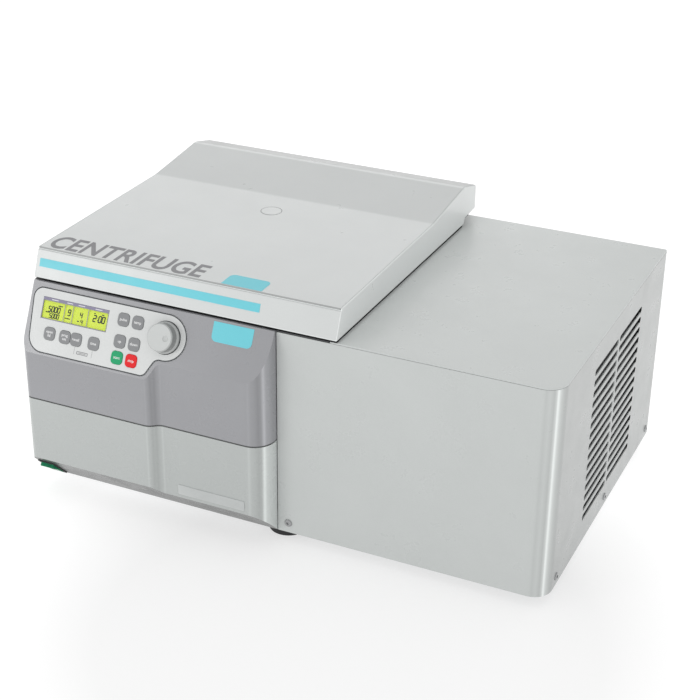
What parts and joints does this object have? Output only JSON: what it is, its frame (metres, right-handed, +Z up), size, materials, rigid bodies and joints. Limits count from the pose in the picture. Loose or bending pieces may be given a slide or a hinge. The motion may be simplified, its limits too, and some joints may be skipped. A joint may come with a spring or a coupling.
{
  "type": "laboratory centrifuge",
  "caption": "Benchtop refrigerated centrifuge with hinged lid, angle rotor in a steel bowl, sloped control panel and a sheet-metal cooling section at its right",
  "frame": {"origin": "on the floor, under the middle of the bounding box", "axes": "+X to the right seen from the front, +Y to the back, +Z up; the control panel and the lid's handle edge face -Y"},
  "size_m": [0.7186, 0.508, 0.3606],
  "materials": {
    "case_paint": "light cool grey satin powder coat",
    "inner_steel": "grey primed sheet steel",
    "panel_dark": "mid grey moulded plastic, satin",
    "panel_light": "light grey moulded plastic, satin",
    "membrane": "near-white printed overlay foil",
    "key_grey": "mid grey key",
    "key_green": "green key",
    "key_red": "red key",
    "knob_plastic": "light grey satin knob",
    "display_glass": "clear window",
    "lcd": "yellow-green liquid crystal display",
    "turquoise": "turquoise accent film",
    "nameplate": "blank satin plate",
    "black_plastic": "black moulded plastic",
    "rocker_green": "translucent green rocker",
    "rubber": "black rubber",
    "stainless": "brushed stainless steel",
    "steel": "bright zinc-plated steel",
    "rotor_alloy": "grey anodised aluminium alloy",
    "knurled_alloy": "clear anodised aluminium",
    "copper": "copper pipe",
    "foam": "black insulation foam",
    "board": "green circuit board",
    "motor_iron": "dark painted motor and compressor housing",
    "fins": "aluminium fins"
  },
  "bodies": {
    "chassis": {"base_pan": "inner_steel", "bowl_insulation": "foam", "bowl_seal": "rubber", "case_screws": "steel", "compressor": "motor_iron", "condenser": "fins", "control_board": "board", "control_membrane": "membrane", "cooling_case": "case_paint", "cooling_case_top": "case_paint", "display_window": "display_glass", "drive_inverter": "fins", "drive_motor": "motor_iron", "evaporator_coil": "copper", "fan_shroud": "black_plastic", "feet": "rubber", "guard_ring": "inner_steel", "hinge_brackets": "steel", "hinge_springs": "steel", "latch_housing": "black_plastic", "lcd_module": "lcd", "left_side_panel": "case_paint", "lower_front_panel": "panel_light", "mains_inlet": "black_plastic", "nameplate": "nameplate", "panel_accent": "turquoise", "pivot_pins": "steel", "rear_panel": "case_paint", "refrigerant_lines": "copper", "rotor_bowl": "stainless", "rubber_mounts": "rubber", "switch_frame": "black_plastic", "top_deck": "case_paint", "upper_front_panel": "panel_dark"},
    "lid": {"lid_frame": "case_paint", "lid_cover": "case_paint", "lid_liner": "stainless", "lid_armour_plate": "inner_steel", "viewport_plug": "case_paint", "lid_accents": "turquoise", "lid_catch": "steel", "lid_hinge_arms": "steel"},
    "rotor": {"drive_shaft": "steel", "angle_rotor": "rotor_alloy", "rotor_lid": "rotor_alloy", "rotor_nut": "knurled_alloy"},
    "fan": {"fan_impeller": "black_plastic"},
    "latch": {"latch_hook": "steel"},
    "knob": {"control_knob": "knob_plastic"},
    "rocker": {"power_rocker": "rocker_green"},
    "key_brake": {"key_brake": "key_grey"},
    "key_cool": {"key_cool": "key_grey"},
    "key_open": {"key_open": "key_grey"},
    "key_program": {"key_program": "key_grey"},
    "key_pulse": {"key_pulse": "key_grey"},
    "key_recall": {"key_recall": "key_grey"},
    "key_select": {"key_select": "key_grey"},
    "key_start": {"key_start": "key_green"},
    "key_stop": {"key_stop": "key_red"},
    "key_timer": {"key_timer": "key_grey"}
  },
  "joints": [
    {"name": "lid_hinge", "type": "hinge", "parent": "chassis", "child": "lid", "pos_m": [-0.1415, 0.244, 0.299], "axis": [-1, 0, 0], "range_deg": [0, 75]},
    {"name": "rotor_spin", "type": "hinge", "parent": "chassis", "child": "rotor", "pos_m": [-0.1415, 0.039, 0.2], "axis": [0, 0, 1], "continuous": true},
    {"name": "fan_spin", "type": "hinge", "parent": "chassis", "child": "fan", "pos_m": [0.296, 0.0325, 0.158], "axis": [1, 0, 0], "continuous": true},
    {"name": "latch_turn", "type": "hinge", "parent": "chassis", "child": "latch", "pos_m": [-0.1415, -0.179, 0.262], "axis": [-1, 0, 0], "range_deg": [0, 25]},
    {"name": "knob_turn", "type": "hinge", "parent": "chassis", "child": "knob", "pos_m": [-0.1515, -0.22974, 0.26902], "axis": [0, -0.9063, 0.4226], "continuous": true},
    {"name": "rocker_tilt", "type": "hinge", "parent": "chassis", "child": "rocker", "pos_m": [-0.341, -0.22726, 0.03509], "axis": [-1, 0, 0], "range_deg": [0, 13]},
    {"name": "key_brake_press", "type": "slide", "parent": "chassis", "child": "key_brake", "axis": [0, 0.9063, -0.4226], "range_m": [0, 0.0006], "stiffness_N_per_m": 3000},
    {"name": "key_cool_press", "type": "slide", "parent": "chassis", "child": "key_cool", "axis": [0, 0.9063, -0.4226], "range_m": [0, 0.0006], "stiffness_N_per_m": 3000},
    {"name": "key_open_press", "type": "slide", "parent": "chassis", "child": "key_open", "axis": [0, 0.9063, -0.4226], "range_m": [0, 0.0006], "stiffness_N_per_m": 3000},
    {"name": "key_program_press", "type": "slide", "parent": "chassis", "child": "key_program", "axis": [0, 0.9063, -0.4226], "range_m": [0, 0.0006], "stiffness_N_per_m": 3000},
    {"name": "key_pulse_press", "type": "slide", "parent": "chassis", "child": "key_pulse", "axis": [0, 0.9063, -0.4226], "range_m": [0, 0.0006], "stiffness_N_per_m": 3000},
    {"name": "key_recall_press", "type": "slide", "parent": "chassis", "child": "key_recall", "axis": [0, 0.9063, -0.4226], "range_m": [0, 0.0006], "stiffness_N_per_m": 3000},
    {"name": "key_select_press", "type": "slide", "parent": "chassis", "child": "key_select", "axis": [0, 0.9063, -0.4226], "range_m": [0, 0.0006], "stiffness_N_per_m": 3000},
    {"name": "key_start_press", "type": "slide", "parent": "chassis", "child": "key_start", "axis": [0, 0.9063, -0.4226], "range_m": [0, 0.0006], "stiffness_N_per_m": 3000},
    {"name": "key_stop_press", "type": "slide", "parent": "chassis", "child": "key_stop", "axis": [0, 0.9063, -0.4226], "range_m": [0, 0.0006], "stiffness_N_per_m": 3000},
    {"name": "key_timer_press", "type": "slide", "parent": "chassis", "child": "key_timer", "axis": [0, 0.9063, -0.4226], "range_m": [0, 0.0006], "stiffness_N_per_m": 3000}
  ]
}
